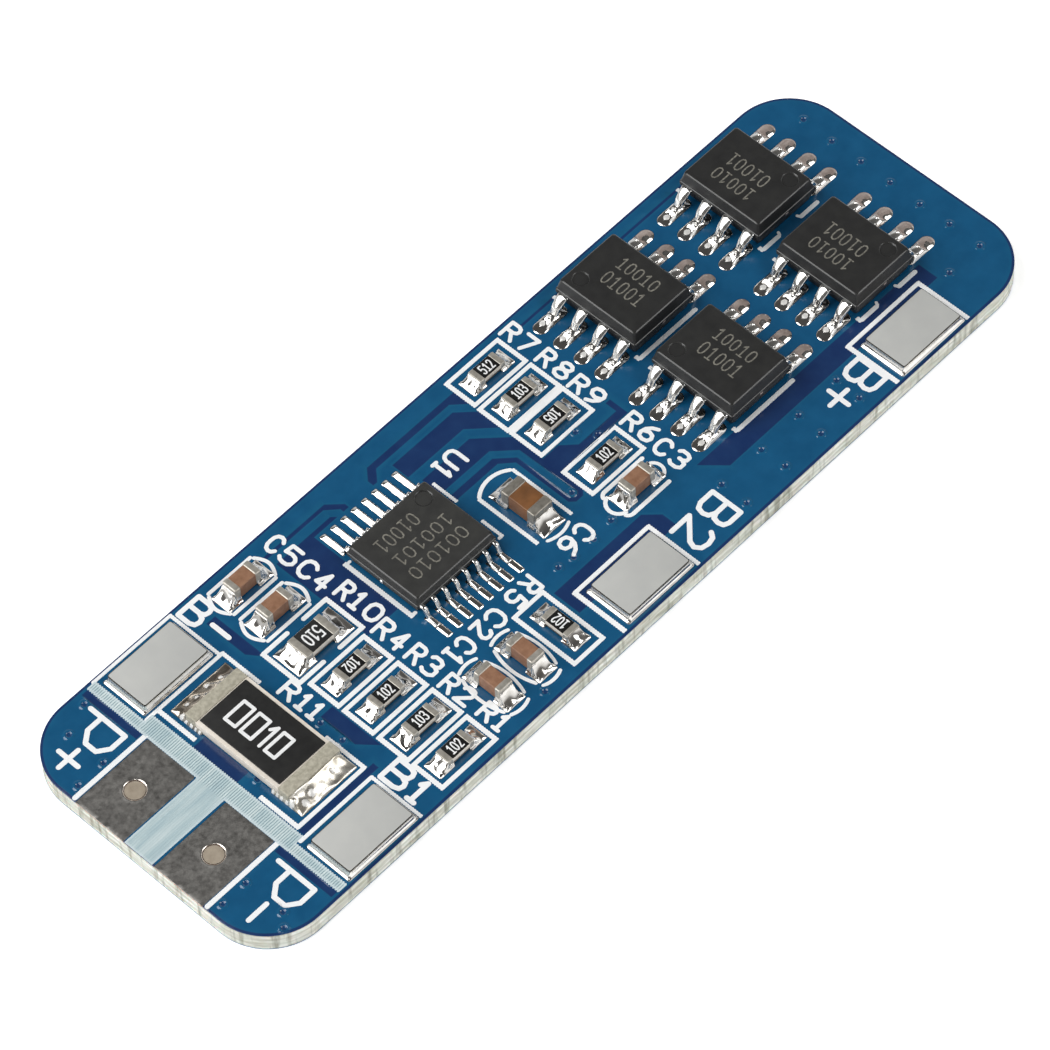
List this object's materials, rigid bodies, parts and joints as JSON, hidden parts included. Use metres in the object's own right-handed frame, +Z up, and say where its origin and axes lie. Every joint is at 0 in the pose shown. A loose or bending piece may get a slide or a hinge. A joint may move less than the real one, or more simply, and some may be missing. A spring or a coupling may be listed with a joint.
{
  "type": "battery management board",
  "caption": "Small blue circuit board that protects a lithium cell pack: transistor, monitor chip, shunt, chip parts, nickel cell tabs and tinned wire pads.",
  "frame": {"origin": "centre of the board's underside", "axes": "+X along the board towards the power transistors, +Y towards the long edge with the B- tab, +Z up out of the part side"},
  "size_m": [0.05, 0.0156, 0.0027],
  "materials": {
    "glass_epoxy": "cut glass-fibre edge, pale and slightly rough",
    "copper": "hidden copper foil",
    "solder_mask": "blue semi-gloss lacquer, lighter over copper",
    "legend_ink": "white printed ink",
    "dull_tin": "dull hot-dipped tin, mottled",
    "moulding_compound": "fine-grained black epoxy moulding",
    "tinned_leads": "bright tinned leads",
    "alumina": "fired alumina",
    "resistor_glaze": "black protective glaze",
    "matt_end_caps": "matt plated terminations, cream grey",
    "end_caps": "plated terminations",
    "capacitor_ceramic": "fired brown ceramic",
    "capacitor_ceramic_dark": "fired dark brown ceramic",
    "nickel": "flat satin nickel",
    "solder": "bright reflowed solder"
  },
  "bodies": {
    "root": {"laminate": "glass_epoxy", "copper_top": "copper", "copper_bottom": "copper", "hole_plating": "copper", "solder_mask_top": "solder_mask", "solder_mask_bottom": "solder_mask", "silkscreen_top": "legend_ink", "wire_pad_tinning": "dull_tin", "mosfet_q1_body": "moulding_compound", "mosfet_q1_leads": "tinned_leads", "mosfet_q2_body": "moulding_compound", "mosfet_q2_leads": "tinned_leads", "mosfet_q3_body": "moulding_compound", "mosfet_q3_leads": "tinned_leads", "mosfet_q4_body": "moulding_compound", "mosfet_q4_leads": "tinned_leads", "protection_ic_body": "moulding_compound", "protection_ic_leads": "tinned_leads", "shunt_r11_ceramic": "alumina", "shunt_r11_coating": "resistor_glaze", "shunt_r11_end_caps": "matt_end_caps", "resistor_r1_body": "resistor_glaze", "resistor_r1_end_caps": "end_caps", "resistor_r2_body": "resistor_glaze", "resistor_r2_end_caps": "end_caps", "resistor_r3_body": "resistor_glaze", "resistor_r3_end_caps": "end_caps", "resistor_r4_body": "resistor_glaze", "resistor_r4_end_caps": "end_caps", "resistor_r5_body": "resistor_glaze", "resistor_r5_end_caps": "end_caps", "resistor_r6_body": "resistor_glaze", "resistor_r6_end_caps": "end_caps", "resistor_r7_body": "resistor_glaze", "resistor_r7_end_caps": "end_caps", "resistor_r8_body": "resistor_glaze", "resistor_r8_end_caps": "end_caps", "resistor_r9_body": "resistor_glaze", "resistor_r9_end_caps": "end_caps", "resistor_r10_body": "resistor_glaze", "resistor_r10_end_caps": "end_caps", "capacitor_c1_body": "capacitor_ceramic", "capacitor_c1_end_caps": "end_caps", "capacitor_c2_body": "capacitor_ceramic", "capacitor_c2_end_caps": "end_caps", "capacitor_c3_body": "capacitor_ceramic", "capacitor_c3_end_caps": "end_caps", "capacitor_c4_body": "capacitor_ceramic", "capacitor_c4_end_caps": "end_caps", "capacitor_c5_body": "capacitor_ceramic", "capacitor_c5_end_caps": "end_caps", "capacitor_c6_body": "capacitor_ceramic_dark", "capacitor_c6_end_caps": "end_caps", "nickel_tab_b_minus": "nickel", "nickel_tab_b1": "nickel", "nickel_tab_b2": "nickel", "nickel_tab_b_plus": "nickel", "solder_mosfet_joints": "solder", "solder_ic_joints": "solder", "solder_chip_and_tab_joints": "solder"}
  },
  "joints": []
}
